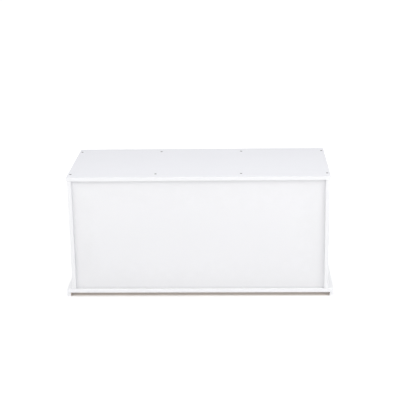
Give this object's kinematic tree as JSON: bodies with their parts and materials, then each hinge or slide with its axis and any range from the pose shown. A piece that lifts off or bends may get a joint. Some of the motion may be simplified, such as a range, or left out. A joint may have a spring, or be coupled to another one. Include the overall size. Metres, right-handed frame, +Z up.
{
  "type": "wooden toy box",
  "caption": "Low white wooden toy box on foot rails, closed by a recessed panel on one long side and holding pull-out bins with finger holes on the other.",
  "frame": {"origin": "on the floor, under the middle of the toy box", "axes": "+X along the length, -Y towards the closed side with the recessed panel, +Y the way the bins pull out, +Z up"},
  "size_m": [0.83, 0.345, 0.386],
  "materials": {
    "white_paint": "satin white paint on smooth board",
    "white_hardboard": "smooth white-faced hardboard with a soft sheen",
    "plywood": "bare birch plywood",
    "zinc_steel": "zinc-plated steel"
  },
  "bodies": {
    "cabinet": {"back_panel": "white_hardboard", "base_board": "white_paint", "base_screw_left_divider_back": "zinc_steel", "base_screw_left_divider_front": "zinc_steel", "base_screw_left_side_back": "zinc_steel", "base_screw_left_side_front": "zinc_steel", "base_screw_right_divider_back": "zinc_steel", "base_screw_right_divider_front": "zinc_steel", "base_screw_right_side_back": "zinc_steel", "base_screw_right_side_front": "zinc_steel", "left_divider": "white_paint", "left_foot_rail": "white_paint", "left_rail_screw_back": "zinc_steel", "left_rail_screw_front": "zinc_steel", "left_rail_screw_middle": "zinc_steel", "left_side": "white_paint", "right_divider": "white_paint", "right_foot_rail": "white_paint", "right_rail_screw_back": "zinc_steel", "right_rail_screw_front": "zinc_steel", "right_rail_screw_middle": "zinc_steel", "right_side": "white_paint", "top_board": "white_paint", "top_screw_left_divider_back": "zinc_steel", "top_screw_left_divider_front": "zinc_steel", "top_screw_left_side_back": "zinc_steel", "top_screw_left_side_front": "zinc_steel", "top_screw_right_divider_back": "zinc_steel", "top_screw_right_divider_front": "zinc_steel", "top_screw_right_side_back": "zinc_steel", "top_screw_right_side_front": "zinc_steel"},
    "left_bin": {"left_bin_back": "white_paint", "left_bin_bottom": "plywood", "left_bin_front": "white_paint", "left_bin_left_side": "white_paint", "left_bin_right_side": "white_paint", "left_bin_screw_left_high": "zinc_steel", "left_bin_screw_left_low": "zinc_steel", "left_bin_screw_right_high": "zinc_steel", "left_bin_screw_right_low": "zinc_steel"},
    "middle_bin": {"middle_bin_back": "white_paint", "middle_bin_bottom": "plywood", "middle_bin_front": "white_paint", "middle_bin_left_side": "white_paint", "middle_bin_right_side": "white_paint", "middle_bin_screw_left_high": "zinc_steel", "middle_bin_screw_left_low": "zinc_steel", "middle_bin_screw_right_high": "zinc_steel", "middle_bin_screw_right_low": "zinc_steel"},
    "right_bin": {"right_bin_back": "white_paint", "right_bin_bottom": "plywood", "right_bin_front": "white_paint", "right_bin_left_side": "white_paint", "right_bin_right_side": "white_paint", "right_bin_screw_left_high": "zinc_steel", "right_bin_screw_left_low": "zinc_steel", "right_bin_screw_right_high": "zinc_steel", "right_bin_screw_right_low": "zinc_steel"}
  },
  "joints": [
    {"name": "left_bin_slide", "type": "slide", "parent": "cabinet", "child": "left_bin", "axis": [0, 1, 0], "range_m": [0, 0.26]},
    {"name": "middle_bin_slide", "type": "slide", "parent": "cabinet", "child": "middle_bin", "axis": [0, 1, 0], "range_m": [0, 0.26]},
    {"name": "right_bin_slide", "type": "slide", "parent": "cabinet", "child": "right_bin", "axis": [0, 1, 0], "range_m": [0, 0.26]}
  ]
}
